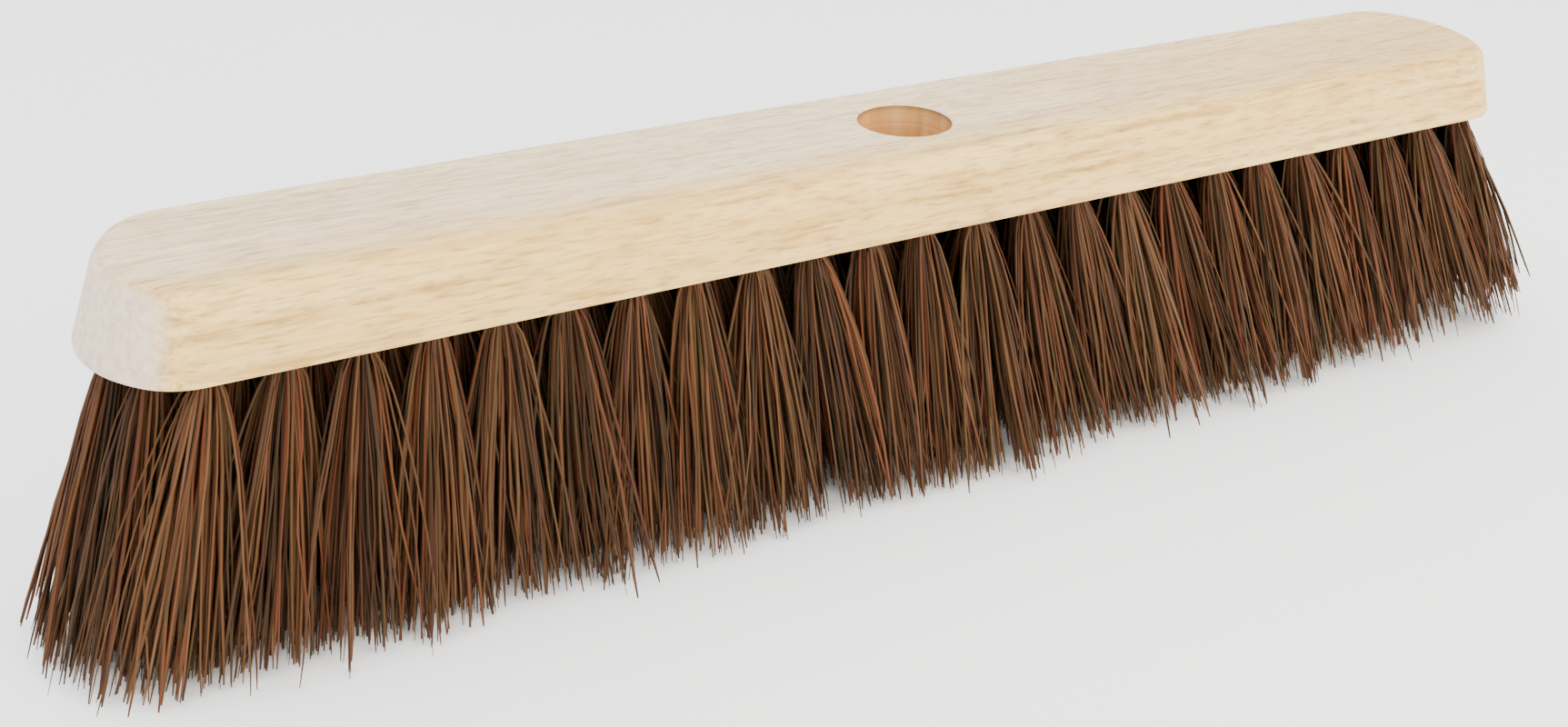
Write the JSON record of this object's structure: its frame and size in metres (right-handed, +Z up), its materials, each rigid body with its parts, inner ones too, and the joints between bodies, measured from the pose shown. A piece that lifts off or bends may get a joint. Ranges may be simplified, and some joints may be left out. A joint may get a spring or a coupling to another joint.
{
  "type": "push broom head",
  "caption": "Push broom head: flat hardwood stock with a round handle socket and rows of coarse brown plant-fibre tufts.",
  "frame": {"origin": "middle of the trimmed bristle tips, on the floor the broom stands on, straight below the handle socket", "axes": "+X along the stock, +Y across it from the front row to the back row, +Z up out of the handle socket"},
  "size_m": [0.4954, 0.0722, 0.105],
  "materials": {
    "wood": "plain sanded pale hardwood, unvarnished",
    "fibre": "coarse dry plant fibre, near-black to red-brown",
    "wire": "bright flat staple wire"
  },
  "bodies": {
    "root": {"stock": "wood", "tufts_01": "fibre", "tufts_02": "fibre", "tufts_03": "fibre", "tufts_04": "fibre", "tufts_05": "fibre", "tufts_06": "fibre", "tufts_07": "fibre", "tufts_08": "fibre", "tufts_09": "fibre", "tufts_10": "fibre", "tufts_11": "fibre", "tufts_12": "fibre", "tufts_13": "fibre", "tufts_14": "fibre", "tufts_15": "fibre", "tufts_16": "fibre", "tufts_17": "fibre", "tufts_18": "fibre", "tufts_19": "fibre", "tufts_20": "fibre", "tufts_21": "fibre", "tufts_22": "fibre", "tufts_23": "fibre", "tufts_24": "fibre", "staple_01": "wire", "staple_02": "wire", "staple_03": "wire", "staple_04": "wire", "staple_05": "wire", "staple_06": "wire", "staple_07": "wire", "staple_08": "wire", "staple_09": "wire", "staple_10": "wire", "staple_11": "wire", "staple_12": "wire", "staple_13": "wire", "staple_14": "wire", "staple_15": "wire", "staple_16": "wire", "staple_17": "wire", "staple_18": "wire", "staple_19": "wire", "staple_20": "wire", "staple_21": "wire", "staple_22": "wire", "staple_23": "wire", "staple_24": "wire"}
  },
  "joints": []
}
